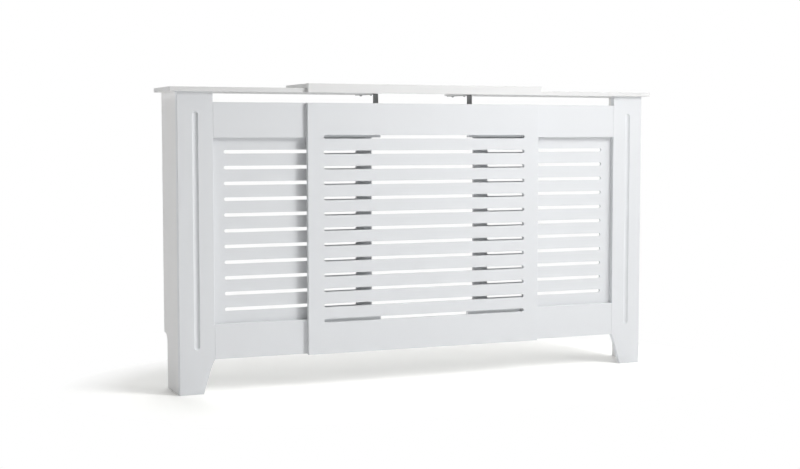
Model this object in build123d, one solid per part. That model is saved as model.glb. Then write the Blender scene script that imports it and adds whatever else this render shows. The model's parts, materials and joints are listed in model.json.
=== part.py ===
"""Radiator cover cabinet of adjustable width.

Two side units stand on the floor and slide in and out behind a centre unit.
The frame has its origin on the floor under the middle of the whole cabinet.
+X runs along the front, +Y towards the wall, +Z up. All sizes are millimetres.
The right side unit is modelled in place and the left one is its mirror image.
"""
from build123d import *
import os

# ---------------------------------------------------------------- overall sizes
HEIGHT = 820.0                # floor to the top of the centre shelf
DEPTH = 190.0                 # front of the centre shelf's lip to the wall
UNIT_LENGTH = 569.0           # outer face of a side panel to the inner end of its rails
RAIL_END = 134.5              # middle of the cabinet to the inner end of the rails, half open
CENTRE_PANEL_WIDTH = 700.0

# ---------------------------------------------------------------- board stock
BOARD = 12.0                  # shelves, side panels and centre panel
FRAME = 15.0                  # posts and rails
GRILLE = 6.0                  # slatted panels of the side units
RUNNING_GAP = 0.3             # between the centre unit and the units that slide past it
EDGE_ROUND = 1.0              # sanded edges of the boards
SLOT_ROUND = 0.6              # sanded edges of the slots
CORNER_ROUND = 2.0            # outer front corner of the cabinet

# ---------------------------------------------------------------- shelves
SHELF_FRONT_OVERHANG = 12.0
SHELF_END_OVERHANG = 21.0
CENTRE_SHELF_OVERHANG = 2.0   # past each edge of the centre panel
LIP_THICKNESS = 12.0

# ---------------------------------------------------------------- posts and feet
POST_WIDTH = 96.0
FOOT_TAPER = 31.0             # taken off the post's width at the floor
FOOT_BEND_TAPER = 15.5        # taken off it where the straight part of the taper ends
FOOT_BEND_HEIGHT = 50.0
FOOT_HOLLOW = 1.5             # depth of the hollow curve above the bend
GROOVE_WIDTH = 16.0
GROOVE_DEPTH = 5.0
GROOVE_TOP_MARGIN = 51.0
GROOVE_FLOOR_MARGIN = 118.0

# ---------------------------------------------------------------- rails
RAIL_HEIGHT = 93.0
VENT_GAP = 27.0               # between the top rail and the shelf above it
BOTTOM_RAIL_LIFT = 90.5
CENTRE_PANEL_HANG = 2.5       # of the centre panel below the bottom rails

# ---------------------------------------------------------------- grilles and slots
SLOT_HEIGHT = 9.5
GRILLE_SLOTS = 11
GRILLE_SLOT_MARGIN = 32.5     # from the post and from each rail
GRILLE_STILE = 45.0           # solid end of the grille, past its slots
GRILLE_SET_BACK = 21.0        # from the inner end of the rails
GRILLE_LAP = 25.0             # behind each rail
GRILLE_POST_LAP = 30.0        # behind the post
CENTRE_SLOTS = 13
CENTRE_SLOT_END_MARGIN = 45.0
CENTRE_SLOT_TOP_MARGIN = 86.5

# ---------------------------------------------------------------- skirting notch in the side panels
NOTCH_DEPTH = 35.0
NOTCH_HEIGHT = 150.0
NOTCH_SLOPE = 6.0             # fall of its top towards the front
NOTCH_INNER_ROUND = 20.0
NOTCH_OUTER_ROUND = 7.0

# ---------------------------------------------------------------- steel brackets
BRACKET_SHEET = 2.0
BRACKET_BEND = 3.0            # inside radius
BRACKET_WIDTH = 15.0          # of the shelf bracket
BRACKET_BACK_MARGIN = 10.7    # from its tip to the back of the shelf
BRACKET_RAIL_LAP = 48.0       # down the back of the top rail
BRACKET_INSET = 1.0           # from the end of the rail
BRACKET_SHELF_HOLE = 35.0     # from the rail to the nearer hole under the shelf
BRACKET_TIP_HOLE = 28.0       # from the bracket's tip to the other one
BRACKET_RAIL_HOLE = 11.0      # from the top of the rail to the upper hole on it
BRACKET_RAIL_PITCH = 24.0     # from there to the lower one
WALL_BRACKET_LEG = 25.0
WALL_BRACKET_WIDTH = 20.0
WALL_BRACKET_DROP = 155.7     # from the shelf down to its middle
WALL_HOLE_RADIUS = 2.75
WALL_SCREW_OFFSET = 5.0       # each way from its middle

# ---------------------------------------------------------------- joining blocks and dowels
BLOCK = 18.0
BLOCK_LENGTH = 40.0
BLOCK_SCREW_OFFSET = 10.0     # each way from the block's middle
TOP_BLOCK_SETBACK = 55.0      # middle of the block under the shelf, from the front of the post
DOWEL_RADIUS = 4.0            # rails to posts
DOWEL_LENGTH = 30.0
DOWEL_EDGE_MARGIN = 22.0      # from the rail's edges
THIN_DOWEL_RADIUS = 3.0       # side panel to post, and shelf to both
THIN_DOWEL_LENGTH = 24.0
SIDE_DOWELS = 4               # down the front edge of the side panel
SIDE_DOWEL_FLOOR_MARGIN = 60.0
SIDE_DOWEL_TOP_MARGIN = 26.0
SHELF_DOWEL_WALL_MARGIN = 20.7
SHELF_DOWEL_PITCH = 50.0
COVER = 4.0                   # wood left past the end of a screw or of a thin dowel
FIT_GAP = 0.05                # round a dowel, screw or bolt in its hole
END_GAP = 0.5                 # left at the bottom of a hole

# ---------------------------------------------------------------- screws
SCREW_RADIUS = 2.0
SCREW_HEAD_RADIUS = 4.0
SCREW_HEAD_HEIGHT = 3.1
SCREW_RIM = 1.2               # height of the head's edge
SCREW_POINT = 3.0
SCREW_TIP_RADIUS = 0.2
SCREW_RECESS_DEPTH = 1.5      # cross recess
SCREW_RECESS_WIDTH = 1.0
SCREW_RECESS_LENGTH = 4.6
GRILLE_SCREW_PITCH = 150.0
GRILLE_SCREW_MARGIN = 12.0    # from the edges that the grille is screwed to

# ---------------------------------------------------------------- width adjusters
BOLT_RADIUS = 2.5
BOLT_HOLE_GAP = 0.3
BOLT_HEAD = 10.4              # across the square head
BOLT_HEAD_THICKNESS = 3.4
BOLT_SPARE = 3.0              # past the nut
TRACK_WALL = 1.2
TRACK_PLAY = 0.4              # round the bolt in its track
TRACK_END_MARGIN = 10.0       # from the edge of the centre panel
ADJUSTER_FROM_EDGE = 33.5     # from the outer edge of a rail to the bolt
ADJUSTER_INSET = 37.5         # from the inner end of the rails
WASHER_RADIUS = 7.5
WASHER_THICKNESS = 1.2
NUT_ACROSS_FLATS = 8.0
NUT_THICKNESS = 4.5

# ---------------------------------------------------------------- places that several pieces share
BACK = DEPTH / 2
LIP_FRONT = -DEPTH / 2
SHELF_FRONT = LIP_FRONT + LIP_THICKNESS + RUNNING_GAP
FACE = SHELF_FRONT + SHELF_FRONT_OVERHANG       # front of the posts and rails
FACE_BACK = FACE + FRAME
GRILLE_BACK = FACE_BACK + GRILLE
PANEL_BACK = FACE - RUNNING_GAP                 # back of the centre panel
NOTCH_FRONT = BACK - NOTCH_DEPTH

CENTRE_SHELF_UNDER = HEIGHT - BOARD
SHELF_TOP = CENTRE_SHELF_UNDER - RUNNING_GAP
SHELF_UNDER = SHELF_TOP - BOARD
TOP_RAIL_TOP = SHELF_UNDER - VENT_GAP
TOP_RAIL_UNDER = TOP_RAIL_TOP - RAIL_HEIGHT
BOTTOM_RAIL_TOP = BOTTOM_RAIL_LIFT + RAIL_HEIGHT
PANEL_UNDER = BOTTOM_RAIL_LIFT - CENTRE_PANEL_HANG
BOLT_HEIGHTS = (BOTTOM_RAIL_LIFT + ADJUSTER_FROM_EDGE, TOP_RAIL_TOP - ADJUSTER_FROM_EDGE)

SIDE_OUT = RAIL_END + UNIT_LENGTH
SIDE_IN = SIDE_OUT - BOARD
SIDE_MIDDLE = SIDE_OUT - BOARD / 2
POST_IN = SIDE_OUT - POST_WIDTH
POST_MIDDLE = SIDE_OUT - POST_WIDTH / 2
GRILLE_IN = RAIL_END + GRILLE_SET_BACK
GRILLE_OUT = POST_IN + GRILLE_POST_LAP
BOLT_X = RAIL_END + ADJUSTER_INSET
BRACKET_X = RAIL_END + BRACKET_INSET + BRACKET_WIDTH / 2
PANEL_HALF = CENTRE_PANEL_WIDTH / 2
CENTRE_SHELF_HALF = PANEL_HALF + CENTRE_SHELF_OVERHANG
TRACK_HALF = PANEL_HALF - TRACK_END_MARGIN

TRACK_WIDTH = BOLT_HEAD + 2 * TRACK_PLAY + 2 * TRACK_WALL
TRACK_DEPTH = BOLT_HEAD_THICKNESS + 2 * TRACK_PLAY + 2 * TRACK_WALL
TRACK_MOUTH = 2 * BOLT_RADIUS + 2 * TRACK_PLAY
BITE = min(BOARD, FRAME) - COVER                # of every screw and thin dowel
BRACKET_SCREW = BRACKET_SHEET + BITE
GRILLE_SCREW = GRILLE + BITE
BLOCK_SCREW = BLOCK + BITE

TOWARDS_WALL = (0, 1, 0)
TOWARDS_ROOM = (0, -1, 0)
UP = (0, 0, 1)
DOWN = (0, 0, -1)
OUTWARD = (1, 0, 0)
PAST = 1.0                    # how far a cutter runs out of the wood
TOUCHING = 1e-4               # how near an edge lies to the face that it is on


# ================================================================ helpers
def block_between(low, high):
    """A box from its lowest to its highest corner."""
    size = [h - l for l, h in zip(low, high)]
    middle = [(h + l) / 2 for l, h in zip(low, high)]
    return Pos(*middle) * Box(*size)


def rod(radius, start, direction, length):
    """A round bar that starts at a point and runs one way."""
    return extrude(Plane(origin=start, z_dir=direction) * Circle(radius), length)


def rounded(board, outer_end=False):
    """Sand the edges round a board's front and, if asked, round its outer end."""
    box = board.bounding_box()

    def exposed(edge):
        middle = edge.center()
        at_front = abs(middle.Y - box.min.Y) < TOUCHING
        at_end = abs(middle.X - box.max.X) < TOUCHING
        return at_front or (outer_end and at_end)

    return fillet(board.edges().filter_by(exposed), EDGE_ROUND)


def front_edges(board):
    """The edges round the front face of a board."""
    return board.faces().sort_by(Axis.Y)[0].edges()


def screw(at, direction, length):
    """A domed cross-head screw; at is under the head, direction is the way it is driven."""
    dome = SCREW_HEAD_HEIGHT - SCREW_RIM
    ball = (SCREW_HEAD_RADIUS ** 2 + dome ** 2) / (2 * dome)
    body = rod(SCREW_HEAD_RADIUS, (0, 0, 0), UP, SCREW_HEAD_HEIGHT)
    body = body & Pos(0, 0, SCREW_HEAD_HEIGHT - ball) * Sphere(ball)
    body = body + rod(SCREW_RADIUS, (0, 0, 0), DOWN, length - SCREW_POINT)
    body = body + Pos(0, 0, SCREW_POINT / 2 - length) * Cone(SCREW_TIP_RADIUS, SCREW_RADIUS, SCREW_POINT)
    recess = Box(SCREW_RECESS_LENGTH, SCREW_RECESS_WIDTH, 2 * SCREW_RECESS_DEPTH)
    for turn in (0, 90):
        body = body - Pos(0, 0, SCREW_HEAD_HEIGHT) * Rot(0, 0, turn) * recess
    away = tuple(-c for c in direction)
    return Plane(origin=at, z_dir=away) * body


def screw_hole(at, direction, length):
    """The hole of such a screw, from under its head."""
    return rod(SCREW_RADIUS + FIT_GAP, at, direction, length + END_GAP)


def screw_holes(*groups):
    return [screw_hole(*place) for group in groups for place in group]


def screws(*groups):
    return [screw(*place) for group in groups for place in group]


def slot_cutters(length, count, pitch, middle_x, middle_z, front, thickness):
    """Round-ended level slots, spread evenly up and down from the middle."""
    cutters = []
    for k in range(count):
        z = middle_z + (k - (count - 1) / 2) * pitch
        plane = Plane(origin=(middle_x, front - PAST, z), x_dir=OUTWARD, z_dir=TOWARDS_WALL)
        cutters.append(extrude(plane * SlotOverall(length, SLOT_HEIGHT), thickness + 2 * PAST))
    return cutters


def sanded_slots(board):
    """Sand the front edges of every slot in a board."""
    front = board.faces().sort_by(Axis.Y)[0]
    return fillet([edge for wire in front.inner_wires() for edge in wire.edges()], SLOT_ROUND)


def save(name, pieces):
    """Write one sub-part; identical pieces stay separate solids in one group."""
    solids = [solid for piece in pieces for solid in piece.solids()]
    shape = solids[0] if len(solids) == 1 else Compound(children=solids)
    export_step(shape, os.path.join("parts", name + ".step"))


# ================================================================ where the fasteners of a side unit go
def evenly(first, last, count):
    return [first + (last - first) * k / (count - 1) for k in range(count)]


def shelf_screw_places():
    """Up through the bracket into the shelf."""
    z = SHELF_UNDER - BRACKET_SHEET
    near = FACE_BACK + BRACKET_SHELF_HOLE
    far = BACK - BRACKET_BACK_MARGIN - BRACKET_TIP_HOLE
    return [((BRACKET_X, y, z), UP, BRACKET_SCREW) for y in (near, far)]


def rail_screw_places():
    """Forwards through the bracket into the back of the top rail."""
    y = FACE_BACK + BRACKET_SHEET
    high = TOP_RAIL_TOP - BRACKET_RAIL_HOLE
    return [((BRACKET_X, y, z), TOWARDS_ROOM, BRACKET_SCREW) for z in (high, high - BRACKET_RAIL_PITCH)]


def grille_screw_places():
    """Through the back of the grille into the rails and the post."""
    first = GRILLE_IN + GRILLE_SCREW_MARGIN
    last = GRILLE_OUT - GRILLE_SCREW_MARGIN
    low = BOTTOM_RAIL_TOP - GRILLE_SCREW_MARGIN
    high = TOP_RAIL_UNDER + GRILLE_SCREW_MARGIN
    count = 1 + max(1, round((last - first) / GRILLE_SCREW_PITCH))
    spots = [(x, z) for x in evenly(first, last, count) for z in (low, high)]
    spots.append((last, (low + high) / 2))
    return [((x, GRILLE_BACK, z), TOWARDS_ROOM, GRILLE_SCREW) for x, z in spots]


def side_dowel_heights():
    return evenly(SIDE_DOWEL_FLOOR_MARGIN, SHELF_UNDER - SIDE_DOWEL_TOP_MARGIN, SIDE_DOWELS)


def block_heights():
    """Middles of the upright joining blocks, each halfway between two dowels."""
    heights = side_dowel_heights()
    return [(low + high) / 2 for low, high in zip(heights, heights[1:])]


def post_block_screw_places():
    """Through the upright blocks into the back of the post."""
    x, y = SIDE_IN - BLOCK / 2, FACE_BACK + BLOCK
    return [((x, y, z - BLOCK_SCREW_OFFSET), TOWARDS_ROOM, BLOCK_SCREW) for z in block_heights()]


def side_block_screw_places():
    """Through the blocks into the side panel."""
    x, y = SIDE_IN - BLOCK, FACE_BACK + BLOCK / 2
    places = [((x, y, z + BLOCK_SCREW_OFFSET), OUTWARD, BLOCK_SCREW) for z in block_heights()]
    top_y = FACE + TOP_BLOCK_SETBACK + BLOCK_SCREW_OFFSET
    return places + [((x, top_y, SHELF_UNDER - BLOCK / 2), OUTWARD, BLOCK_SCREW)]


def shelf_block_screw_places():
    """Up through the top block into the shelf."""
    y = FACE + TOP_BLOCK_SETBACK - BLOCK_SCREW_OFFSET
    return [((SIDE_IN - BLOCK / 2, y, SHELF_UNDER - BLOCK), UP, BLOCK_SCREW)]


def wall_bracket_screw_places():
    """Through the wall bracket into the side panel."""
    x, y = SIDE_IN - BRACKET_SHEET, BACK - (WALL_BRACKET_LEG + BRACKET_SHEET) / 2
    middle = SHELF_UNDER - WALL_BRACKET_DROP
    return [((x, y, middle + dz), OUTWARD, BRACKET_SCREW) for dz in (-WALL_SCREW_OFFSET, WALL_SCREW_OFFSET)]


def rail_dowel_places():
    """Start, direction, length and radius of the dowels between the rails and the post."""
    x, y = POST_IN - DOWEL_LENGTH / 2, FACE + FRAME / 2
    heights = []
    for under in (BOTTOM_RAIL_LIFT, TOP_RAIL_UNDER):
        heights += [under + DOWEL_EDGE_MARGIN, under + RAIL_HEIGHT - DOWEL_EDGE_MARGIN]
    return [((x, y, z), OUTWARD, DOWEL_LENGTH, DOWEL_RADIUS) for z in heights]


def side_dowel_places():
    """The dowels between the post and the side panel."""
    y = FACE_BACK - BITE
    return [((SIDE_MIDDLE, y, z), TOWARDS_WALL, THIN_DOWEL_LENGTH, THIN_DOWEL_RADIUS)
            for z in side_dowel_heights()]


def shelf_dowel_places():
    """The dowels that locate the shelf on the side panel and on the post."""
    rear = BACK - SHELF_DOWEL_WALL_MARGIN
    spots = [(SIDE_MIDDLE, rear), (SIDE_MIDDLE, rear - SHELF_DOWEL_PITCH), (POST_MIDDLE, FACE + FRAME / 2)]
    return [((x, y, SHELF_UNDER + BITE), DOWN, THIN_DOWEL_LENGTH, THIN_DOWEL_RADIUS) for x, y in spots]


def dowel_places():
    return rail_dowel_places() + side_dowel_places() + shelf_dowel_places()


def dowel_holes():
    holes = []
    for start, direction, length, radius in dowel_places():
        bottom = tuple(s - d * END_GAP for s, d in zip(start, direction))
        holes.append(rod(radius + FIT_GAP, bottom, direction, length + 2 * END_GAP))
    return holes


# ================================================================ pieces of a side unit
def side_panel():
    """Upright end board, with the stepped notch that clears a skirting board."""
    inner = (NOTCH_FRONT, NOTCH_HEIGHT - NOTCH_SLOPE)
    outer = (BACK, NOTCH_HEIGHT)
    outline = Polyline((FACE_BACK, 0), (NOTCH_FRONT, 0), inner, outer,
                       (BACK, SHELF_UNDER), (FACE_BACK, SHELF_UNDER), close=True)
    face = make_face(outline)
    for corner, radius in ((inner, NOTCH_INNER_ROUND), (outer, NOTCH_OUTER_ROUND)):
        face = fillet(face.vertices().sort_by_distance((*corner, 0))[0], radius)
    panel = extrude(Plane.YZ.offset(SIDE_IN) * face, BOARD)
    return panel - dowel_holes() - screw_holes(side_block_screw_places(), wall_bracket_screw_places())


def post():
    """Front leg, which tapers to its foot and has a stopped, round-bottomed groove."""
    top = (POST_IN, BOTTOM_RAIL_LIFT)
    bend = (POST_IN + FOOT_BEND_TAPER, FOOT_BEND_HEIGHT)
    outline = Polyline(bend, (POST_IN + FOOT_TAPER, 0), (SIDE_OUT, 0),
                       (SIDE_OUT, SHELF_UNDER), (POST_IN, SHELF_UNDER), top)
    hollow = SagittaArc(top, bend, FOOT_HOLLOW)
    board = extrude(Plane.XZ.offset(-FACE_BACK) * make_face([*outline.edges(), hollow]), FRAME)
    board = fillet(front_edges(board).filter_by(Axis.Z).sort_by(Axis.X)[0], EDGE_ROUND)
    board = fillet(front_edges(board).filter_by(Axis.Z).sort_by(Axis.X)[-1], CORNER_ROUND)
    return board - groove() - dowel_holes() - screw_holes(post_block_screw_places(), grille_screw_places())


def groove():
    """The path of a round-nosed cutter down the middle of the post."""
    radius = ((GROOVE_WIDTH / 2) ** 2 + GROOVE_DEPTH ** 2) / (2 * GROOVE_DEPTH)
    y = FACE + GROOVE_DEPTH - radius
    low = GROOVE_FLOOR_MARGIN + GROOVE_WIDTH / 2
    high = SHELF_UNDER - GROOVE_TOP_MARGIN - GROOVE_WIDTH / 2
    path = rod(radius, (POST_MIDDLE, y, low), UP, high - low)
    return path + [Pos(POST_MIDDLE, y, z) * Sphere(radius) for z in (low, high)]


def rail(under, bolt_height):
    """Board from the post towards the middle, with the hole of its adjuster bolt."""
    board = block_between((RAIL_END, FACE, under), (POST_IN, FACE_BACK, under + RAIL_HEIGHT))
    board = fillet(front_edges(board), EDGE_ROUND)
    start = (BOLT_X, FACE - PAST, bolt_height)
    bolt_hole = rod(BOLT_RADIUS + BOLT_HOLE_GAP, start, TOWARDS_WALL, FRAME + 2 * PAST)
    return board - bolt_hole - dowel_holes() - screw_holes(grille_screw_places(), rail_screw_places())


def grille():
    """Thin slatted panel behind the rails and the post."""
    low = (GRILLE_IN, FACE_BACK, BOTTOM_RAIL_TOP - GRILLE_LAP)
    high = (GRILLE_OUT, GRILLE_BACK, TOP_RAIL_UNDER + GRILLE_LAP)
    slot_in, slot_out = GRILLE_IN + GRILLE_STILE, POST_IN - GRILLE_SLOT_MARGIN
    opening = TOP_RAIL_UNDER - BOTTOM_RAIL_TOP
    pitch = (opening - 2 * GRILLE_SLOT_MARGIN - SLOT_HEIGHT) / (GRILLE_SLOTS - 1)
    cutters = slot_cutters(slot_out - slot_in, GRILLE_SLOTS, pitch, (slot_in + slot_out) / 2,
                           BOTTOM_RAIL_TOP + opening / 2, FACE_BACK, GRILLE)
    return sanded_slots(block_between(low, high) - cutters) - screw_holes(grille_screw_places())


def shelf():
    """Lower shelf board, on top of the side panel and the post."""
    high = (SIDE_OUT + SHELF_END_OVERHANG, BACK, SHELF_TOP)
    board = rounded(block_between((RAIL_END, SHELF_FRONT, SHELF_UNDER), high), outer_end=True)
    return board - dowel_holes() - screw_holes(shelf_screw_places(), shelf_block_screw_places())


def shelf_bracket():
    """Bent steel strip that carries the free end of the shelf on the end of the top rail."""
    corner = (FACE_BACK, SHELF_UNDER)
    tip = (BACK - BRACKET_BACK_MARGIN, SHELF_UNDER)
    foot = (FACE_BACK, TOP_RAIL_TOP - BRACKET_RAIL_LAP)
    outside = FilletPolyline(foot, corner, tip, radius=BRACKET_BEND + BRACKET_SHEET)
    inside = FilletPolyline((tip[0], tip[1] - BRACKET_SHEET),
                            (corner[0] + BRACKET_SHEET, corner[1] - BRACKET_SHEET),
                            (foot[0] + BRACKET_SHEET, foot[1]), radius=BRACKET_BEND)
    ends = [Line(outside @ 1, inside @ 0), Line(inside @ 1, outside @ 0)]
    section = make_face([*outside.edges(), *inside.edges(), *ends])
    strip = extrude(Plane.YZ.offset(BRACKET_X - BRACKET_WIDTH / 2) * section, BRACKET_WIDTH)
    corners = strip.edges().filter_by(Axis.Z).group_by(Axis.Y)[-1]
    corners += strip.edges().filter_by(Axis.Y).group_by(Axis.Z)[0]
    return fillet(corners, BRACKET_WIDTH / 4) - screw_holes(shelf_screw_places(), rail_screw_places())


def joining_blocks():
    """Softwood blocks screwed into the inside corners."""
    x, y = SIDE_IN - BLOCK / 2, FACE_BACK + BLOCK / 2
    blocks = [Pos(x, y, z) * Box(BLOCK, BLOCK, BLOCK_LENGTH) for z in block_heights()]
    blocks.append(Pos(x, FACE + TOP_BLOCK_SETBACK, SHELF_UNDER - BLOCK / 2) * Box(BLOCK, BLOCK_LENGTH, BLOCK))
    holes = screw_holes(post_block_screw_places(), side_block_screw_places(), shelf_block_screw_places())
    return [block - holes for block in blocks]


def wall_bracket():
    """Small steel angle inside the back edge of the side panel."""
    middle = SHELF_UNDER - WALL_BRACKET_DROP
    low, high = middle - WALL_BRACKET_WIDTH / 2, middle + WALL_BRACKET_WIDTH / 2
    side_leg = block_between((SIDE_IN - BRACKET_SHEET, BACK - WALL_BRACKET_LEG, low), (SIDE_IN, BACK, high))
    wall_leg = block_between((SIDE_IN - WALL_BRACKET_LEG, BACK - BRACKET_SHEET, low), (SIDE_IN, BACK, high))
    start = (SIDE_IN - (WALL_BRACKET_LEG + BRACKET_SHEET) / 2, BACK - BRACKET_SHEET - PAST, middle)
    hole = rod(WALL_HOLE_RADIUS, start, TOWARDS_WALL, BRACKET_SHEET + 2 * PAST)
    return side_leg + wall_leg - hole - screw_holes(wall_bracket_screw_places())


def dowels():
    return [rod(radius, start, direction, length) for start, direction, length, radius in dowel_places()]


# ================================================================ width adjusters
def adjuster_bolts():
    """Square-headed bolts, each with its head in a track and its shank through a rail."""
    head_back = PANEL_BACK - TRACK_WALL - TRACK_PLAY
    head_front = head_back - BOLT_HEAD_THICKNESS
    end = FACE_BACK + WASHER_THICKNESS + NUT_THICKNESS + BOLT_SPARE
    half = BOLT_HEAD / 2
    bolts = []
    for z in BOLT_HEIGHTS:
        head = block_between((BOLT_X - half, head_front, z - half), (BOLT_X + half, head_back, z + half))
        bolts.append(head + rod(BOLT_RADIUS, (BOLT_X, head_back, z), TOWARDS_WALL, end - head_back))
    return bolts


def bolt_bore(front, thickness, z):
    """The hole that a washer or nut has for the bolt."""
    return rod(BOLT_RADIUS + FIT_GAP, (BOLT_X, front - PAST, z), TOWARDS_WALL, thickness + 2 * PAST)


def adjuster_washers():
    return [rod(WASHER_RADIUS, (BOLT_X, FACE_BACK, z), TOWARDS_WALL, WASHER_THICKNESS)
            - bolt_bore(FACE_BACK, WASHER_THICKNESS, z) for z in BOLT_HEIGHTS]


def adjuster_nuts():
    front = FACE_BACK + WASHER_THICKNESS
    hexagon = RegularPolygon(NUT_ACROSS_FLATS / 2, 6, major_radius=False)
    nuts = []
    for z in BOLT_HEIGHTS:
        nut = extrude(Plane(origin=(BOLT_X, front, z), z_dir=TOWARDS_WALL) * hexagon, NUT_THICKNESS)
        nuts.append(nut - bolt_bore(front, NUT_THICKNESS, z))
    return nuts


def track_outside(z):
    """The space that an adjuster track fills in the back of the centre panel."""
    low = (-TRACK_HALF, PANEL_BACK - TRACK_DEPTH, z - TRACK_WIDTH / 2)
    return block_between(low, (TRACK_HALF, PANEL_BACK, z + TRACK_WIDTH / 2))


def adjuster_track(z):
    """Aluminium channel with its mouth towards the rails."""
    reach = TRACK_HALF + PAST
    half = TRACK_WIDTH / 2 - TRACK_WALL
    cavity = block_between((-reach, PANEL_BACK - TRACK_DEPTH + TRACK_WALL, z - half),
                           (reach, PANEL_BACK - TRACK_WALL, z + half))
    mouth = block_between((-reach, PANEL_BACK - TRACK_WALL - PAST, z - TRACK_MOUTH / 2),
                          (reach, PANEL_BACK + PAST, z + TRACK_MOUTH / 2))
    return track_outside(z) - cavity - mouth


# ================================================================ centre unit
def centre_panel():
    """Slatted panel in front of the rails, grooved behind for the adjuster tracks."""
    front = PANEL_BACK - BOARD
    height = TOP_RAIL_TOP - PANEL_UNDER
    pitch = (height - 2 * CENTRE_SLOT_TOP_MARGIN - SLOT_HEIGHT) / (CENTRE_SLOTS - 1)
    cutters = slot_cutters(2 * (PANEL_HALF - CENTRE_SLOT_END_MARGIN), CENTRE_SLOTS, pitch, 0,
                           PANEL_UNDER + height / 2, front, BOARD)
    board = rounded(block_between((-PANEL_HALF, front, PANEL_UNDER), (PANEL_HALF, PANEL_BACK, TOP_RAIL_TOP)))
    return sanded_slots(board - cutters) - [track_outside(z) for z in BOLT_HEIGHTS]


def centre_shelf():
    """Upper shelf board, which lies across the two lower ones."""
    low = (-CENTRE_SHELF_HALF, LIP_FRONT + LIP_THICKNESS, CENTRE_SHELF_UNDER)
    board = block_between(low, (CENTRE_SHELF_HALF, BACK, HEIGHT))
    top = board.faces().sort_by(Axis.Z)[-1]
    return fillet(top.edges().filter_by(Axis.Y), EDGE_ROUND)


def centre_shelf_lip():
    """Edging strip that hides the front edges of the lower shelves."""
    low = (-CENTRE_SHELF_HALF, LIP_FRONT, SHELF_UNDER)
    return rounded(block_between(low, (CENTRE_SHELF_HALF, LIP_FRONT + LIP_THICKNESS, HEIGHT)))


# ================================================================ write every sub-part
def side_unit():
    """Every sub-part of the right-hand unit, by name."""
    low_bolt, high_bolt = BOLT_HEIGHTS
    return {
        "side_panel": [side_panel()],
        "post": [post()],
        "top_rail": [rail(TOP_RAIL_UNDER, high_bolt)],
        "bottom_rail": [rail(BOTTOM_RAIL_LIFT, low_bolt)],
        "grille": [grille()],
        "shelf": [shelf()],
        "shelf_bracket": [shelf_bracket()],
        "shelf_bracket_screws": screws(shelf_screw_places(), rail_screw_places()),
        "grille_screws": screws(grille_screw_places()),
        "joining_blocks": joining_blocks(),
        "joining_block_screws": screws(post_block_screw_places(), side_block_screw_places(),
                                       shelf_block_screw_places()),
        "dowels": dowels(),
        "wall_bracket": [wall_bracket()],
        "wall_bracket_screws": screws(wall_bracket_screw_places()),
        "adjuster_bolts": adjuster_bolts(),
        "adjuster_washers": adjuster_washers(),
        "adjuster_nuts": adjuster_nuts(),
    }


def main():
    os.makedirs("parts", exist_ok=True)
    for name, pieces in side_unit().items():
        save("right_" + name, pieces)
        save("left_" + name, [mirror(piece, about=Plane.YZ) for piece in pieces])
    save("centre_panel", [centre_panel()])
    save("centre_shelf", [centre_shelf()])
    save("centre_shelf_lip", [centre_shelf_lip()])
    save("lower_adjuster_track", [adjuster_track(BOLT_HEIGHTS[0])])
    save("upper_adjuster_track", [adjuster_track(BOLT_HEIGHTS[1])])


main()
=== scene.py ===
"""Looks of the radiator cover cabinet: painted boards, plated fittings, studio light and camera."""
import json
import math
from functools import cache

import bmesh
import bpy
from mathutils import Matrix, Vector


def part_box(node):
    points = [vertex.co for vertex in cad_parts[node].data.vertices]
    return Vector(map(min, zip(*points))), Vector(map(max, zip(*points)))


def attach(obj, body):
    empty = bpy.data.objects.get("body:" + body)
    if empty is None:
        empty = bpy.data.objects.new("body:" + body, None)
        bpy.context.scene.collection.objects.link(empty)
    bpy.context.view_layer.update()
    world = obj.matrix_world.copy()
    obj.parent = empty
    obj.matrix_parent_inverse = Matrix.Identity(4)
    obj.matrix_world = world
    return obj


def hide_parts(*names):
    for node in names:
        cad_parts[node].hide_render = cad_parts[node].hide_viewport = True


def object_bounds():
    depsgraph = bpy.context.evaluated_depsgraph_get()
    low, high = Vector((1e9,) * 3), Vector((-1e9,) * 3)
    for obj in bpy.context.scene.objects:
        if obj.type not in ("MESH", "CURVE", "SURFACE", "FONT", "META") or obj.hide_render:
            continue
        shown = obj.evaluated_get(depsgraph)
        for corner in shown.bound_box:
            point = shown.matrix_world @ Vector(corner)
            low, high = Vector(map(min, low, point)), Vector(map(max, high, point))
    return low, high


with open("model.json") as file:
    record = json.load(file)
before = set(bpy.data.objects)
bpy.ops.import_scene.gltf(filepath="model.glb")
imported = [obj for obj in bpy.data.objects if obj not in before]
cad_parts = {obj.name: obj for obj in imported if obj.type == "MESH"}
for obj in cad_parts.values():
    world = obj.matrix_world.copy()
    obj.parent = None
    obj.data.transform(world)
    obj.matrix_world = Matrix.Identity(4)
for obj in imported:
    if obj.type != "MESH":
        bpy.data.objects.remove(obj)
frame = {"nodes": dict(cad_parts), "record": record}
cad_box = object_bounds()

# ---------------------------------------------------------------- fittings, in metres
MM = 0.001
SHEET = 2.0 * MM                  # steel of the brackets
RIM = 0.3 * MM                    # worn edges of stamped steel
SHELF_BRACKET_BEND = 5.0 * MM     # outside radius
SHELF_BRACKET_CORNER = 3.75 * MM  # rounding of its tips
WALL_BRACKET_BEND = 3.0 * MM
WALL_BRACKET_CORNER = 1.5 * MM
SCREW_HEAD_RADIUS = 4.0 * MM
SCREW_HEAD_HEIGHT = 3.05 * MM
SCREW_RIM = 1.0 * MM              # upright edge of the head, below its dome
SCREW_RADIUS = 2.0 * MM
SCREW_ROOT = 1.45 * MM            # radius between the threads
SCREW_NECK = 1.6 * MM             # radius of the plain shank under the head
SCREW_NECK_LENGTH = 0.2 * MM      # what the thread leaves of it
SCREW_THREAD_PITCH = 1.6 * MM
SCREW_POINT = 3.0 * MM            # length of the point
RECESS_DEPTH = 1.7 * MM
RECESS_LENGTH = 4.8 * MM          # at the cutter's top, which stands as far above the head
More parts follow.
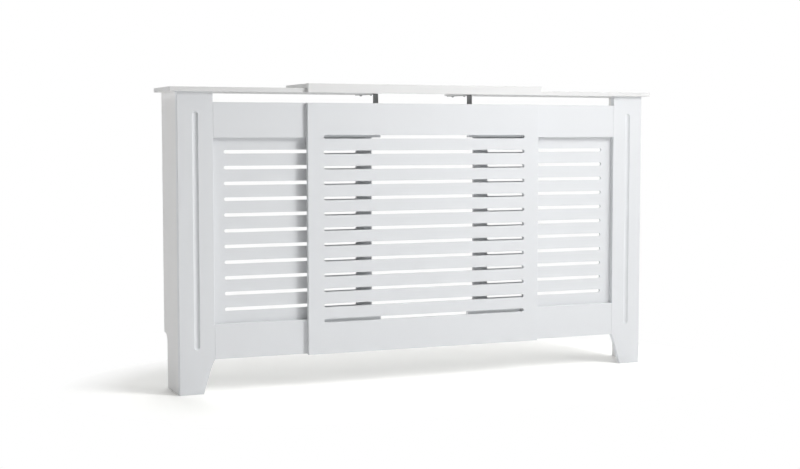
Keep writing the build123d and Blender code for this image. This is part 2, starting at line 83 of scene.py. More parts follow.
RECESS_WIDTH = 0.95 * MM
RECESS_TAPER = (0.45, 0.8)        # length and width of the cutter's bottom, as shares of its top's
BOLT_RADIUS = 2.5 * MM
BOLT_ROOT = 2.05 * MM
BOLT_THREAD_PITCH = 0.8 * MM
BOLT_POINT = 0.5 * MM             # plain chamfered end before the thread
BOLT_END = 0.85 * BOLT_ROOT       # radius of the very end
BOLT_SUNK = 0.2 * MM              # how far the thread runs into the head
BOLT_HEAD_THICKNESS = 3.4 * MM
BOLT_HEAD_CHAMFER = 0.5 * MM
NUT_CHAMFER = 0.55 * MM
NUT_FACE = 0.96                   # radius of its round faces, as a share of the distance to its flats
NUT_BORE = 0.98 * BOLT_RADIUS     # a little tight, so that it closes on the thread
NUT_MOUTH = 1.1 * BOLT_RADIUS
NUT_MOUTH_DEPTH = 0.3 * MM
WASHER_BORE = 2.65 * MM
WASHER_RIM = 0.25 * MM
BLOCK_CHAMFER = 1.2 * MM
HOLE_PLAY = 0.2 * MM              # round a screw in a bracket

# a turn of thread, in shares of its pitch: where the flank starts up, where the crest begins and ends, and
# where the flank is down again
THREAD_TURN = (0.125, 0.4375, 0.5625, 0.875)
SPARE_TURNS = 3                   # turns that are cut off again, half of them at each end

# ---------------------------------------------------------------- modelling
MERGE_DISTANCE = 0.001 * MM
PAST = 1.0 * MM                   # how far a cutter runs out of the metal, and a hidden end into it
NEAR = 0.3 * MM                   # how near an edge has to be to the place where it is picked
END_BAND = 0.5 * MM               # how near a fastener's end a corner counts as part of it
SQUARE_ON = 0.9                   # how squarely a face has to look along the axis that it is picked by
DRILL_REACH = 12.0 * MM           # each way from the place of a hole
ARC_STEPS = 8
CORNER_STEPS = 5
EDGE_STEPS = 2
THREAD_STEPS = 24                 # steps in a turn, here and below
HOLE_STEPS = 32
HEAD_STEPS = 32
CHAMFER_STEPS = 48                # of the washers too
EASED_ANGLE = math.radians(35)    # edges sharper than this are eased
SMOOTH_ANGLE = math.radians(32)   # edges flatter than this are shaded smooth

# ---------------------------------------------------------------- finishes
PAINT_TINTS = {"neutral": (1, 1, 0.995), "cool": (0.983, 1, 1.02)}
NEUTRAL_BOARDS = ("shelf", "shelf_lip", "side_panel")
PAINT_DEEP = 0.78
PAINT_PALE = 0.8
PAINT_ON_EDGES = 0.76             # cut edges drink more of it
PAINT_WHERE_THIN = 0.7            # in patches on faces turned to the wall
THIN_PAINT_TINT = (1, 0.985, 0.95)
PAINT_ROUGHNESS = 0.54
PAINT_GLOSS = 0.25
PAINT_RELIEF = 0.03 * MM
ZINC_DEEP = (0.3492, 0.3564, 0.36, 1)
ZINC_BRIGHT = (0.49, 0.495, 0.5, 1)
ZINC_ROUGHNESS = 0.26
ZINC_RELIEF = 0.012 * MM
SCRATCH_STRETCH = (900, 900, 60)  # fine scratches along Z
ALUMINIUM_DEEP = 0.66
ALUMINIUM_BRIGHT = 0.8
ALUMINIUM_ROUGHNESS = 0.28
ALUMINIUM_RELIEF = 0.01 * MM
DIE_STRETCH = (2, 1400, 1400)     # fine lines along X
SOFTWOOD_PALE = (0.66, 0.46, 0.25, 1)
SOFTWOOD_DARK = (0.45, 0.25, 0.1, 1)
SOFTWOOD_RINGS = 330.0            # growth rings to the metre
BEECH_PALE = (0.66, 0.47, 0.29, 1)
BEECH_DARK = (0.56, 0.36, 0.2, 1)
BEECH_RINGS = 500.0
RING_SWAY = 1.4                   # how far the rings sway, in rings
TREE_HEART = (0.03, 0.05)         # how far from the origin the heart of the tree lies, across the grain
GRAIN_STRETCH = 0.12              # what distance along the grain counts for, against distance across it
FIBRE_SHADE = 0.86                # darker fibres, as a share of the pale wood's colour
WOOD_ROUGHNESS = 0.6
WOOD_RELIEF = 0.05 * MM

# lumps to the metre of each pattern
PAINT_CLOUDS = 2.5
PAINT_WAVES = 55.0
PAINT_PEEL = 420.0
PAINT_FIBRES = 1600.0
PAINT_PATCHES = 30.0
ZINC_BLOOM = 140.0
WOOD_SWAY = 30.0
WOOD_FIBRES = 2200.0

# ---------------------------------------------------------------- camera, as the photograph was taken
CAMERA_PLACE = (-1.593, -3.639, 0.685)
CAMERA_TURN = 23.02               # degrees to the right of straight at the wall
CAMERA_DIP = 4.1                  # degrees below level
CAMERA_LENS = 63.05               # millimetres, on the sensor below
SENSOR_WIDTH = 36.0

# ---------------------------------------------------------------- light
# softboxes, one far off, two in front to the right and one low by the left foot: place, the point aimed at,
# width, height and watts
SOFTBOXES = {
    "key_softbox": ((13.0, -13.0, 8.4), (0.0, -0.07, 0.4), 10.8, 6.6, 954.0),
    "front_softbox": ((0.5, -1.25, 1.25), (0.1, -0.07, 0.6), 0.5, 1.3, 3.0),
    "high_softbox": ((1.0, -1.5, 1.75), (-1.0, -0.07, 0.5), 0.5, 0.8, 18.3),
    "low_softbox": ((-0.55, -0.55, 0.1), (-0.6, -0.07, 0.1), 0.3, 0.15, 0.12),
}
# soft lights far off: from and to in degrees to the right of straight in front, from and to in height as
# a sine, and strength
FAR_LIGHTS = {
    "high front right": (0, 90, 0.8, 1.0, 2.2),
    "high front left": (-90, 0, 0.8, 1.0, 1.2),
    "high back right": (90, 190, 0.8, 1.0, 1.8),
    "back right": (135, 190, 0.3, 0.8, 2.6),
    "low back left": (-135, -90, -1.0, 0.3, 3.6),
}
TURN_BLUR = 3.0                   # degrees to each side over which a far light's edge fades
HEIGHT_BLUR = 0.03                # the same for its upper and lower edge, as a sine
WALL_SIDE_BLUR = 0.25             # the same for the edge of the white on the wall side, as a sine
FLOOR_HALF = 6.0                  # from its middle to each side
FLOOR_DROP = 0.2 * MM             # below the feet
FLOOR_COLOUR = 0.93
FLOOR_SHOWN_COLOUR = 1.17         # over 1, so that lit floor is seen as white and only shadow as grey
FLOOR_SHOWN_TINT = (1, 1, 0.98)
# painted light: the seen floor is painted plain white with the distance from a line along the middle of the
# cabinet, which fades the cabinet's shadow out there
FLOOR_WHITE_INSET = 0.39          # how far the line's ends lie inside the cabinet's
FLOOR_WHITE_ACROSS = 1.16         # what distance across the line counts for, against distance along it
FLOOR_WHITE_FROM = 0.48
FLOOR_WHITE_TO = 0.67


# ================================================================ material nodes
class Value:
    """A number, colour or vector on its way through the nodes of a material."""

    def __init__(self, nodes, socket):
        self.nodes, self.socket = nodes, socket

    def maths(self, operation, *others):
        return self.nodes.maths(operation, self, *others)

    def __add__(self, other):
        return self.maths("ADD", other)

    def __sub__(self, other):
        return self.maths("SUBTRACT", other)

    def __mul__(self, other):
        return self.maths("MULTIPLY", other)

    def __rsub__(self, other):
        return self.nodes.maths("SUBTRACT", other, self)

    __radd__, __rmul__ = __add__, __mul__


class Nodes:
    """The node tree of a material or of the world."""

    def __init__(self, owner, output="ShaderNodeOutputMaterial"):
        owner.use_nodes = True
        self.owner, self.tree = owner, owner.node_tree
        self.tree.nodes.clear()
        self.output = self.tree.nodes.new(output)

    def add(self, kind, settings, values, output=0):
        """Adds a node: its settings first, then the values or links of its sockets."""
        node = self.tree.nodes.new(kind)
        for name, setting in settings.items():
            setattr(node, name, setting)
        for name, value in values.items():
            if isinstance(value, Value):
                self.tree.links.new(value.socket, node.inputs[name])
            else:
                node.inputs[name].default_value = value
        return Value(self, node.outputs[output])

    def maths(self, operation, *values):
        return self.add("ShaderNodeMath", {"operation": operation}, dict(enumerate(values)))

    def place(self, stretch=(1, 1, 1)):
        """The point of the piece, in metres, stretched along its axes."""
        point = self.add("ShaderNodeTexCoord", {}, {}, "Object")
        return self.add("ShaderNodeMapping", {}, {"Vector": point, "Scale": stretch})

    def along(self, vector, axis):
        """The share of a vector along an axis."""
        return self.add("ShaderNodeSeparateXYZ", {}, {0: vector}, axis)

    def facing(self, axis):
        """How squarely the surface faces along an axis, from -1 to 1."""
        return self.along(self.add("ShaderNodeTexCoord", {}, {}, "Normal"), axis)

    def noise(self, point, scale, detail=3.0, rough=0.5):
        """Noise about 0.5; scale is in lumps per metre of the point."""
        return self.add("ShaderNodeTexNoise", {}, {
            "Vector": point, "Scale": scale, "Detail": detail, "Roughness": rough})

    def fade(self, value, low, high):
        """0 below low, 1 above high and an even change between."""
        return self.add("ShaderNodeMapRange", {}, {"Value": value, "From Min": low, "From Max": high})

    def mix(self, share, first, second):
        """A colour between two others, through the node's factor, colour and result sockets."""
        return self.add("ShaderNodeMix", {"data_type": "RGBA"}, {0: share, 6: first, 7: second}, 2)

    def bump(self, height, depth):
        """The normal of a surface whose relief is so deep in metres."""
        return self.add("ShaderNodeBump", {}, {"Height": height, "Distance": depth})

    def reached_by(self, *kinds):
        """1 for rays of the named kinds and 0 for all others."""
        return sum(self.add("ShaderNodeLightPath", {}, {}, f"Is {kind} Ray") for kind in kinds)

    def finish(self, shader):
        self.tree.links.new(shader.socket, self.output.inputs["Surface"])
        return self.owner

    def principled(self, values):
        return self.finish(self.add("ShaderNodeBsdfPrincipled", {}, values))


def material(name):
    return Nodes(bpy.data.materials.new(name))


def grey(level, tint=(1, 1, 1)):
    return (*(level * share for share in tint), 1)


# ================================================================ finishes, each made when first asked for
@cache
def white_paint(flat, tint):
    """Sprayed satin paint on fibreboard whose broad faces lie square to an axis."""
    nodes = material(f"{tint}_white_paint_on_{flat.lower()}")
    cast = PAINT_TINTS[tint]
    point = nodes.place()
    cloud = nodes.noise(point, PAINT_CLOUDS)
    waves = nodes.noise(point, PAINT_WAVES, detail=2.0)
    peel = nodes.noise(point, PAINT_PEEL, detail=2.0)
    fibres = nodes.noise(point, PAINT_FIBRES, detail=2.0)
    patches = nodes.fade(nodes.noise(point, PAINT_PATCHES, detail=5.0, rough=0.6), low=0.35, high=0.7)
    edge = 1 - nodes.fade(nodes.facing(flat).maths("ABSOLUTE"), low=0.1, high=0.7)
    thin = nodes.fade(nodes.facing("Y"), low=0.6, high=0.95) * patches
    colour = nodes.mix(cloud, grey(PAINT_DEEP, cast), grey(PAINT_PALE, cast))
    colour = nodes.mix(edge * 0.5, colour, grey(PAINT_ON_EDGES, cast))
    colour = nodes.mix(thin * 0.35, colour, grey(PAINT_WHERE_THIN, THIN_PAINT_TINT))
    height = peel + waves * 1.5 + fibres * (edge * 1.2 + 0.15)
    return nodes.principled({
        "Base Color": colour, "Roughness": PAINT_ROUGHNESS + cloud * 0.08 + edge * 0.14 + thin * 0.1,
        "Normal": nodes.bump(height, PAINT_RELIEF), "Specular IOR Level": PAINT_GLOSS})


@cache
def zinc_steel():
    """Bright zinc plate, with its faint bloom and fine scratches."""
    nodes = material("zinc_steel")
    bloom = nodes.noise(nodes.place(), ZINC_BLOOM, detail=5.0, rough=0.6)
    streaks = nodes.noise(nodes.place(SCRATCH_STRETCH), scale=2.0, detail=2.0)
    scratches = nodes.fade(streaks, low=0.58, high=0.66)
    return nodes.principled({
        "Base Color": nodes.mix(bloom, ZINC_DEEP, ZINC_BRIGHT), "Metallic": 1.0,
        "Roughness": ZINC_ROUGHNESS + bloom * 0.2 + scratches * 0.12,
        "Normal": nodes.bump(bloom + scratches, ZINC_RELIEF)})


@cache
def track_aluminium():
    """Extruded aluminium, with the die's lines along it."""
    nodes = material("track_aluminium")
    lines = nodes.noise(nodes.place(DIE_STRETCH), scale=1.0)
    return nodes.principled({
        "Base Color": nodes.mix(lines, grey(ALUMINIUM_DEEP), grey(ALUMINIUM_BRIGHT)), "Metallic": 1.0,
        "Roughness": ALUMINIUM_ROUGHNESS + lines * 0.18, "Normal": nodes.bump(lines, ALUMINIUM_RELIEF)})


def planed_wood(name, grain, pale, dark, rings):
    """Wood with growth rings round an axis outside the piece and fine fibres along it."""
    nodes = material(name)
    point = nodes.place(tuple(GRAIN_STRETCH if axis == grain else 1.0 for axis in "XYZ"))
    across = [nodes.along(point, axis) for axis in "XYZ" if axis != grain]
    squares = [(place + heart).maths("POWER", 2.0) for place, heart in zip(across, TREE_HEART)]
    sway = nodes.noise(point, WOOD_SWAY, detail=2.0)
    ring = ((squares[0] + squares[1]).maths("SQRT") * rings + sway * RING_SWAY).maths("FRACT")
    late = nodes.fade(ring, low=0.45, high=0.92) - nodes.fade(ring, low=0.93, high=1.0)
    fibres = nodes.noise(point, WOOD_FIBRES)
    shaded = [FIBRE_SHADE * share for share in pale[:3]] + [1]
    colour = nodes.mix(late, nodes.mix(fibres, pale, shaded), dark)
    return nodes.principled({
        "Base Color": colour, "Roughness": WOOD_ROUGHNESS - late * 0.1,
        "Normal": nodes.bump(fibres + late, WOOD_RELIEF)})


@cache
def softwood(grain):
    name = f"softwood_along_{grain.lower()}"
    return planed_wood(name, grain, SOFTWOOD_PALE, SOFTWOOD_DARK, SOFTWOOD_RINGS)


@cache
def beech():
    return planed_wood("beech", "X", BEECH_PALE, BEECH_DARK, BEECH_RINGS)


def paint_of(node):
    """The paint of a board, by the axis that its broad faces are square to."""
    low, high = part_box(node)
    size = high - low
    flat = min("XYZ", key=lambda axis: getattr(size, axis.lower()))
    return white_paint(flat, "neutral" if node.endswith(NEUTRAL_BOARDS) else "cool")


def dress_frame():
    """Gives every node of the frame the finish of its material slot."""
    plain = {"zinc_steel": zinc_steel(), "track_aluminium": track_aluminium(),
             "softwood": softwood("Z"), "beech": beech()}
    for part in frame["record"]["subparts"]:
        node = part["node"]
        mesh = frame["nodes"][node].data
        mesh.materials.clear()
        mesh.materials.append(plain.get(part["material_slot"]) or paint_of(node))


# ================================================================ modelling
def alone(piece):
    """Selects a piece and nothing else."""
    bpy.ops.object.select_all(action="DESELECT")
    piece.select_set(True)
    bpy.context.view_layer.objects.active = piece


def edit(piece):
    """Opens a piece for editing by its corners."""
    alone(piece)
    bpy.ops.object.mode_set(mode="EDIT")
    bpy.ops.mesh.select_mode(type="VERT")
    return piece


def start(add, **values):
    """Adds a primitive with nothing else selected and opens it for editing, with all of it selected."""
    bpy.ops.object.select_all(action="DESELECT")
    add(**values)
    return edit(bpy.context.object)


def close(piece):
    bpy.ops.object.mode_set(mode="OBJECT")
    return piece


def pick(piece, kind, test):
    """Selects only the faces or edges that pass a test."""
    bpy.ops.mesh.select_mode(type={"faces": "FACE", "edges": "EDGE"}[kind])
    bpy.ops.mesh.select_all(action="DESELECT")
    mesh = bmesh.from_edit_mesh(piece.data)
    for element in getattr(mesh, kind):
        element.select_set(bool(test(element)))
    mesh.select_flush_mode()
    bmesh.update_edit_mesh(piece.data)


def merge_corners():
    """Selects everything and merges the corners that are in the same place."""
    bpy.ops.mesh.select_all(action="SELECT")
    bpy.ops.mesh.remove_doubles(threshold=MERGE_DISTANCE)


def face_outwards():
    """Selects everything and turns all faces outwards."""
    bpy.ops.mesh.select_all(action="SELECT")
    bpy.ops.mesh.normals_make_consistent(inside=False)


def placed(piece, matrix=Matrix.Identity(4)):
    """Takes a piece's own place, and then a matrix, into its mesh, and leaves its object at the origin."""
    piece.data.transform(piece.matrix_world)
    piece.matrix_world = Matrix.Identity(4)
    piece.data.transform(matrix)
    return piece


def copied(piece, matrix=Matrix.Identity(4)):
    """A copy with its own mesh, in its own place."""
    twin = piece.copy()
    twin.data = piece.data.copy()
    bpy.context.scene.collection.objects.link(twin)
    twin.data.transform(matrix)
    return twin


def joined(pieces):
    """Joins pieces into the first of them, and leaves only that one selected."""
    bpy.ops.object.select_all(action="DESELECT")
    for piece in pieces:
        piece.select_set(True)
    bpy.context.view_layer.objects.active = pieces[0]
    if len(pieces) > 1:
        bpy.ops.object.join()
    return pieces[0]


def apply(piece, kind, **settings):
    """Adds a modifier, sets it and applies it."""
    alone(piece)
    modifier = piece.modifiers.new(kind.title(), kind)
    for name, value in settings.items():
        setattr(modifier, name, value)
    bpy.ops.object.modifier_apply(modifier=modifier.name)


def cut(piece, cutter, operation="DIFFERENCE"):
    """Cuts one piece with another, which is used up."""
    apply(piece, "BOOLEAN", object=cutter, operation=operation, solver="EXACT")
    bpy.data.objects.remove(cutter)


def ease_edges(piece, width, segments=EDGE_STEPS):
    """Rounds every sharp edge a little."""
    apply(piece, "BEVEL", width=width, segments=segments, limit_method="ANGLE", angle_limit=EASED_ANGLE)


def block(centre, size):
    """A plain block of a size about a point."""
    piece = start(bpy.ops.mesh.primitive_cube_add, size=1, location=centre)
    bpy.ops.transform.resize(value=size)
    return placed(close(piece))


def cylinder(sides, radius, height):
    """A plain cylinder about the origin, still open for editing."""
    return start(bpy.ops.mesh.primitive_cylinder_add, vertices=sides, radius=radius, depth=height)


def draw(points):
    """A line through points in the XZ plane, drawn by extruding one corner from point to point."""
    line = start(bpy.ops.mesh.primitive_plane_add, size=MM)
    bpy.ops.mesh.merge(type="CENTER")
    bpy.ops.transform.translate(value=(points[0][0], 0, points[0][1]))
    for (x0, z0), (x1, z1) in zip(points, points[1:]):
        bpy.ops.mesh.extrude_region_move(TRANSFORM_OT_translate={"value": (x1 - x0, 0, z1 - z0)})
    return line


def arc(middle_x, middle_z, radius, first, last):
    """Points on an arc, by angle in degrees from straight up."""
    angles = [math.radians(first + (last - first) * step / ARC_STEPS) for step in range(ARC_STEPS + 1)]
    return [(middle_x + radius * math.sin(angle), middle_z + radius * math.cos(angle)) for angle in angles]


def mirrored(upper):
    """An outline of radius and height that is the same below as above, from its upper half."""
    return [(radius, -height) for radius, height in reversed(upper)] + upper


def turn_on_lathe(outline, steps):
    """A solid of revolution about Z from an outline of radius and height that starts and ends on it."""
    piece = draw(outline)
    bpy.ops.mesh.select_all(action="SELECT")
    bpy.ops.mesh.spin(steps=steps, angle=math.tau, center=(0, 0, 0), axis=(0, 0, 1))
    merge_corners()
    face_outwards()
    return close(piece)


def upright_at(place, way):
    """The matrix that puts a fastener's foot at a place and points its head along a way."""
    return Matrix.Translation(place) @ Vector(way).to_track_quat("Z", "Y").to_matrix().to_4x4()


def drill(piece, radius, place, way):
    """Makes a hole right through a piece at a place."""
    bar = close(cylinder(HOLE_STEPS, radius, 2 * DRILL_REACH))
    cut(piece, placed(bar, upright_at(place, way)))


# ================================================================ where the frame's fasteners are
def solids_of(node):
    """The corner points of each separate solid of a CAD node."""
    edit(copied(frame["nodes"][node]))
    merge_corners()
    bpy.ops.mesh.separate(type="LOOSE")
    bpy.ops.object.mode_set(mode="OBJECT")
    parts = list(bpy.context.selected_objects)
    solids = [[corner.co.copy() for corner in part.data.vertices] for part in parts]
    for part in parts:
        bpy.data.objects.remove(part)
    return solids


def box_of(points):
    """The lowest and the highest corner of the box round some points."""
    return (Vector([min(point[axis] for point in points) for axis in range(3)]),
            Vector([max(point[axis] for point in points) for axis in range(3)]))


def standing(points):
    """Where a headed fastener stands: the tip of its shank, the way to its head, and its length."""
    low, high = box_of(points)
    size = high - low
    length_axis = max(range(3), key=lambda axis: size[axis])
    centre = (low + high) / 2

    def radius_at(end):
        offsets = [point - centre for point in points if abs(point[length_axis] - end) < END_BAND]
        for offset in offsets:
            offset[length_axis] = 0
        return max(offset.length for offset in offsets)

    head_first = radius_at(low[length_axis]) > radius_at(high[length_axis])
    tip = centre.copy()
    tip[length_axis] = high[length_axis] if head_first else low[length_axis]
    way = Vector([0, 0, 0])
    way[length_axis] = -1 if head_first else 1
    return tip, way, size[length_axis]


# ================================================================ fittings
def thread(root, crest, pitch, low, high):
    """A threaded bar along Z, cut square at both ends."""
    turns = math.ceil((high - low) / pitch) + SPARE_TURNS
    rise, crest_start, crest_end, foot = (share * pitch for share in THREAD_TURN)
    turn = [(root, 0), (root, rise), (crest, crest_start), (crest, crest_end), (root, foot), (root, pitch)]
    bar = placed(close(draw(turn)), Matrix.Translation((0, 0, low - SPARE_TURNS / 2 * pitch)))
    apply(bar, "SCREW", axis="Z", angle=math.tau, screw_offset=pitch, iterations=turns, steps=THREAD_STEPS,
          render_steps=THREAD_STEPS, use_merge_vertices=True, merge_threshold=MERGE_DISTANCE)
    edit(bar)
    merge_corners()
    for height, way in ((low, -1), (high, 1)):
        bpy.ops.mesh.select_all(action="SELECT")
        bpy.ops.mesh.bisect(plane_co=(0, 0, height), plane_no=(0, 0, way), use_fill=True, clear_outer=True,
                            threshold=MERGE_DISTANCE)
    face_outwards()
    return close(bar)


def cross_cutter(top):
    """One slot of a cross recess, narrower at its bottom."""
    cutter = start(bpy.ops.mesh.primitive_cube_add, size=1, location=(0, 0, top))
    bpy.ops.transform.resize(value=(RECESS_LENGTH, RECESS_WIDTH, 2 * RECESS_DEPTH))
    pick(cutter, "faces", lambda face: face.normal.z < -SQUARE_ON)
    bpy.ops.transform.resize(value=(*RECESS_TAPER, 1))
    return close(cutter)


def cross_head_screw(length):
    """Pan-head wood screw that stands on its point, with a cross recess and a coarse thread."""
    under = length - SCREW_HEAD_HEIGHT
    dome = SCREW_HEAD_HEIGHT - SCREW_RIM
    ball = (SCREW_HEAD_RADIUS ** 2 + dome ** 2) / (2 * dome)
    edge = math.degrees(math.asin(SCREW_HEAD_RADIUS / ball))
    neck = [(0, under - PAST), (SCREW_NECK, under - PAST), (SCREW_NECK, under), (SCREW_HEAD_RADIUS, under)]
    head = turn_on_lathe(neck + arc(0, length - ball, ball, edge, 0), HEAD_STEPS)
    for degrees in (0, 90):
        cut(head, placed(cross_cutter(length), Matrix.Rotation(math.radians(degrees), 4, "Z")))
    shank = thread(SCREW_ROOT, SCREW_RADIUS, SCREW_THREAD_PITCH, SCREW_POINT, under - SCREW_NECK_LENGTH)
    point = turn_on_lathe([(0, 0), (SCREW_ROOT, SCREW_POINT), (0, SCREW_POINT + PAST)], THREAD_STEPS)
    return joined([head, shank, point])


def track_bolt(length, across):
    """Square-headed bolt that stands on the end of its thread, with its head up."""
    under = length - BOLT_HEAD_THICKNESS
    head = block((0, 0, length - BOLT_HEAD_THICKNESS / 2), (across, across, BOLT_HEAD_THICKNESS))
    ease_edges(head, BOLT_HEAD_CHAMFER)
    shank = thread(BOLT_ROOT, BOLT_RADIUS, BOLT_THREAD_PITCH, BOLT_POINT, under + BOLT_SUNK)
    chamfer = [(0, 0), (BOLT_END, 0), (BOLT_ROOT, BOLT_POINT), (0, BOLT_POINT + PAST)]
    return joined([head, shank, turn_on_lathe(chamfer, THREAD_STEPS)])


def hex_nut(across, thickness):
    """Chamfered hexagon nut about the origin, with its hole along Z."""
    half = thickness / 2
    corner = across / 2 / math.cos(math.radians(30))
    nut = close(cylinder(6, corner, thickness))
    flat = across / 2 * NUT_FACE
    slope = (corner - flat) / NUT_CHAMFER
    narrow = flat - slope * PAST
    wide = corner + slope * RIM
    shoulder = half - NUT_CHAMFER - RIM
    outside = mirrored([(wide, shoulder), (narrow, half + PAST), (0, half + PAST)])
    cut(nut, turn_on_lathe(outside, CHAMFER_STEPS), "INTERSECT")
    bore = mirrored([(NUT_BORE, half - NUT_MOUTH_DEPTH), (NUT_MOUTH, half),
                     (BOLT_RADIUS + PAST, half + PAST), (0, half + PAST)])
    cut(nut, turn_on_lathe(bore, HOLE_STEPS))
    return nut


def washer(across, thickness):
    """Flat washer about the origin, with its stamped edges rounded."""
    disc = cylinder(CHAMFER_STEPS, across / 2, thickness)
    pick(disc, "faces", lambda face: abs(face.normal.z) > SQUARE_ON)
    bpy.ops.mesh.inset(thickness=across / 2 - WASHER_BORE)
    bpy.ops.mesh.bridge_edge_loops()
    ease_edges(close(disc), WASHER_RIM)
    return disc


def bent_strip(bend, corner, down, along, width):
    """A strip of sheet steel bent to an angle: its outer corner is at the origin, one leg runs down and the
    other along X, and both are rounded at their tips."""
    outside = [(0, -down), *arc(bend, -bend, bend, -90, 0), (along, 0)]
    inside = [(along, -SHEET), *arc(bend, -bend, bend - SHEET, 0, -90), (SHEET, -down)]
    strip = draw([*outside, *inside, outside[0]])
    merge_corners()
    bpy.ops.mesh.edge_face_add()
    bpy.ops.transform.translate(value=(0, -width / 2, 0))
    bpy.ops.mesh.extrude_region_move(TRANSFORM_OT_translate={"value": (0, width, 0)})
    face_outwards()

    def at_tip(edge):
        spot = (edge.verts[0].co + edge.verts[1].co) / 2
        runs_through = edge.calc_length() < SHEET + NEAR
        return (runs_through and abs(abs(spot.y) - width / 2) < NEAR
                and (spot.z < NEAR - down or spot.x > along - NEAR))

    pick(strip, "edges", at_tip)
    bpy.ops.mesh.bevel(offset=corner, segments=CORNER_STEPS, affect="EDGES")
    return close(strip)


# ================================================================ the fittings of a side unit
patterns = {}


def pattern(key, make, *sizes):
    """One fitting of each kind and length, made when it is first needed and copied to all its places."""
    if key not in patterns:
        patterns[key] = make(*sizes)
    return patterns[key]


def fitted(node, pieces, finish=None):
    """Joins pieces into the one that stands for a CAD node and rides with its body."""
    whole = joined(pieces)
    whole.name = whole.data.name = node + "_detail"
    if finish:
        whole.data.materials.append(finish)
    bpy.ops.object.shade_smooth_by_angle(angle=SMOOTH_ANGLE)
    body = next(name for name, nodes in frame["record"]["behaviour"]["bodies"].items() if node in nodes)
    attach(whole, body)
    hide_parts(node)


def screws_in(node):
    """Screws of the right length in every place where the frame has one."""
    screws = []
    for points in solids_of(node):
        tip, way, length = standing(points)
        screw = pattern(f"{length / MM:.0f} mm screw", cross_head_screw, length)
        screws.append(copied(screw, upright_at(tip, way)))
    fitted(node, screws, zinc_steel())


def adjuster_bolts(side):
    """The bolts whose square heads run in the centre panel's tracks."""
    node = side + "_adjuster_bolts"
    bolts = []
    for points in solids_of(node):
        low, high = box_of(points)
        tip, way, length = standing(points)
        bolt = pattern("bolt", track_bolt, length, high.x - low.x)
        bolts.append(copied(bolt, upright_at(tip, way)))
    fitted(node, bolts, zinc_steel())


def adjuster_rings(side, kind, make):
    """The washers or the nuts that go on the bolts."""
    node = f"{side}_adjuster_{kind}"
    rings = []
    for points in solids_of(node):
        low, high = box_of(points)
        ring = pattern(kind, make, high.x - low.x, high.y - low.y)
        rings.append(copied(ring, upright_at((low + high) / 2, (0, 1, 0))))
    fitted(node, rings, zinc_steel())


def drill_for_screws(strip, node):
    """Makes the holes that a bracket's screws pass through."""
    for points in solids_of(node + "_screws"):
        tip, way, _ = standing(points)
        drill(strip, SCREW_RADIUS + HOLE_PLAY, tip, way)


def shelf_bracket(side):
    """The bent strip between the end of the top rail and the shelf."""
    node = side + "_shelf_bracket"
    low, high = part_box(node)
    size = high - low
    strip = bent_strip(SHELF_BRACKET_BEND, SHELF_BRACKET_CORNER, size.z, size.y, size.x)
    # the leg along X comes to run back under the shelf
    turned = Matrix(((0, -1, 0), (1, 0, 0), (0, 0, 1))).to_4x4()
    placed(strip, Matrix.Translation(((low.x + high.x) / 2, low.y, high.z)) @ turned)
    drill_for_screws(strip, node)
    ease_edges(strip, RIM)
    fitted(node, [strip], zinc_steel())


def wall_bracket(side):
    """The bent strip at the back of the side panel, with a hole for a screw into the wall."""
    node = side + "_wall_bracket"
    low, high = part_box(node)
    size = high - low
    strip = bent_strip(WALL_BRACKET_BEND, WALL_BRACKET_CORNER, size.y, size.x, size.z)
    inward = 1 if side == "left" else -1
    corner = (low.x if side == "left" else high.x, high.y, (low.z + high.z) / 2)
    # the leg along X comes to run inward along the wall, and the one down forward along the side panel
    turned = Matrix(((inward, 0, 0), (0, 0, 1), (0, -inward, 0))).to_4x4()
    placed(strip, Matrix.Translation(corner) @ turned)
    drill_for_screws(strip, node)
    mount = next(mount for mount in frame["record"]["mounts"] if mount["name"] == side + "_wall_screw_hole")
    drill(strip, mount["dims"]["r_mm"] * MM, mount["pos_m"], mount["axis"])
    ease_edges(strip, RIM)
    fitted(node, [strip], zinc_steel())


def joining_blocks(side):
    """Chamfered blocks, with their grain along them."""
    node = side + "_joining_blocks"
    blocks = []
    for points in solids_of(node):
        low, high = box_of(points)
        size = high - low
        piece = block((low + high) / 2, size)
        ease_edges(piece, BLOCK_CHAMFER, segments=1)
        piece.data.materials.append(softwood("Y" if size.y > size.z else "Z"))
        blocks.append(piece)
    fitted(node, blocks)


def fit_side_units():
    """Every fitting of both side units, and then away with the patterns that they were copied from."""
    for side in ("left", "right"):
        shelf_bracket(side)
        wall_bracket(side)
        joining_blocks(side)
        adjuster_bolts(side)
        adjuster_rings(side, "washers", washer)
        adjuster_rings(side, "nuts", hex_nut)
        for screwed in ("shelf_bracket", "grille", "joining_block", "wall_bracket"):
            screws_in(f"{side}_{screwed}_screws")
    for fitting in patterns.values():
        bpy.data.objects.remove(fitting)


# ================================================================ studio
def studio_floor():
    """A pale floor that is seen as white and keeps the cabinet's shadow near it, with painted white that
    fades the shadow out farther off.
    """
    bpy.ops.object.select_all(action="DESELECT")
    bpy.ops.mesh.primitive_plane_add(size=2 * FLOOR_HALF, location=(0, 0, -FLOOR_DROP))
    floor = bpy.context.object
    floor.name = "studio_floor"
    nodes = material("studio_floor")
    place = nodes.place()
    reach = cad_box[1].x - FLOOR_WHITE_INSET
    beyond = (nodes.along(place, "X").maths("ABSOLUTE") - reach).maths("MAXIMUM", 0)
    across = nodes.along(place, "Y") * FLOOR_WHITE_ACROSS
    away = (beyond * beyond + across * across).maths("SQRT")
    seen = nodes.reached_by("Camera", "Glossy", "Transmission")
    colour = nodes.mix(seen, grey(FLOOR_COLOUR), grey(FLOOR_SHOWN_COLOUR, FLOOR_SHOWN_TINT))
    matt = nodes.add("ShaderNodeBsdfDiffuse", {}, {"Color": colour})
    white = nodes.add("ShaderNodeEmission", {}, {"Color": grey(1), "Strength": 1.0})
    # painted light: white emission that fades out the cabinet's shadow with the distance from it
    plain = seen * nodes.fade(away, FLOOR_WHITE_FROM, FLOOR_WHITE_TO)
    shader = nodes.add("ShaderNodeMixShader", {}, {0: plain, 1: matt, 2: white})
    floor.data.materials.append(nodes.finish(shader))


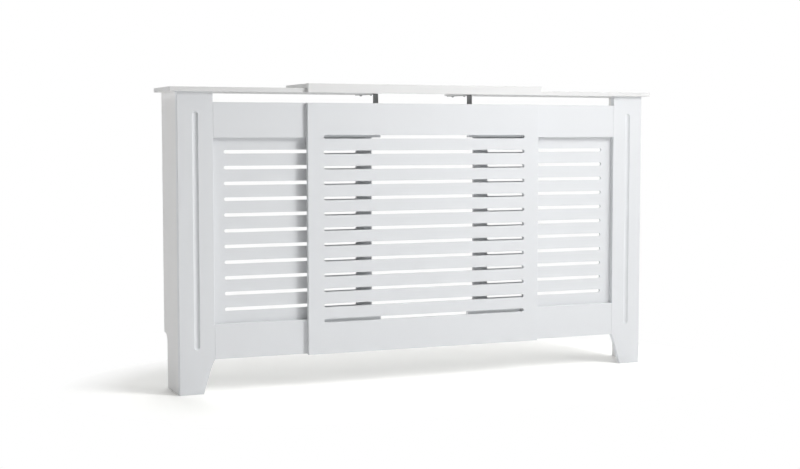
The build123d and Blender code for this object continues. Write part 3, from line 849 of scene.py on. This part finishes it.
def studio_world():
    """Soft lights far off, and plain white where the world is seen or mirrored on the wall side."""
    world = bpy.data.worlds.new("studio")
    bpy.context.scene.world = world
    nodes = Nodes(world, "ShaderNodeOutputWorld")
    way = nodes.add("ShaderNodeTexCoord", {}, {}, "Generated")
    height = nodes.along(way, "Z")
    turn = nodes.along(way, "X").maths("ARCTAN2", nodes.along(way, "Y") * -1) * math.degrees(1)

    def between(value, low, high, blur):
        return nodes.fade(value, low - blur, low + blur) - nodes.fade(value, high - blur, high + blur)

    strength = sum(between(turn, left, right, TURN_BLUR) * between(height, low, high, HEIGHT_BLUR) * level
                   for left, right, low, high, level in FAR_LIGHTS.values())
    light = nodes.add("ShaderNodeBackground", {}, {"Color": grey(1), "Strength": strength})
    white = nodes.add("ShaderNodeBackground", {}, {"Color": grey(1), "Strength": 1.0})
    wall_side = nodes.fade(nodes.along(way, "Y"), -WALL_SIDE_BLUR, WALL_SIDE_BLUR)
    plain = nodes.reached_by("Camera") + nodes.reached_by("Glossy", "Transmission") * wall_side
    nodes.finish(nodes.add("ShaderNodeMixShader", {}, {0: plain, 1: light, 2: white}))


def softbox(name, place, aim, width, height, power):
    """A rectangular area light that is neither seen nor mirrored."""
    data = bpy.data.lights.new(name, "AREA")
    data.shape = "RECTANGLE"
    data.size, data.size_y = width, height
    data.energy = power
    lamp = bpy.data.objects.new(name, data)
    lamp.location = place
    back = Vector(place) - Vector(aim)
    lamp.rotation_euler = back.to_track_quat("Z", "Y").to_euler()
    lamp.visible_camera = lamp.visible_glossy = False
    bpy.context.scene.collection.objects.link(lamp)


def camera():
    """The photograph's camera."""
    data = bpy.data.cameras.new("camera")
    data.lens = CAMERA_LENS
    data.sensor_width = SENSOR_WIDTH
    place = bpy.data.objects.new("camera", data)
    place.location = CAMERA_PLACE
    place.rotation_euler = (math.radians(90 - CAMERA_DIP), 0, math.radians(-CAMERA_TURN))
    bpy.context.scene.collection.objects.link(place)
    bpy.context.scene.camera = place


dress_frame()
fit_side_units()
studio_floor()
studio_world()
for softbox_name, settings in SOFTBOXES.items():
    softbox(softbox_name, *settings)
camera()
bpy.context.scene.view_settings.view_transform = "Standard"
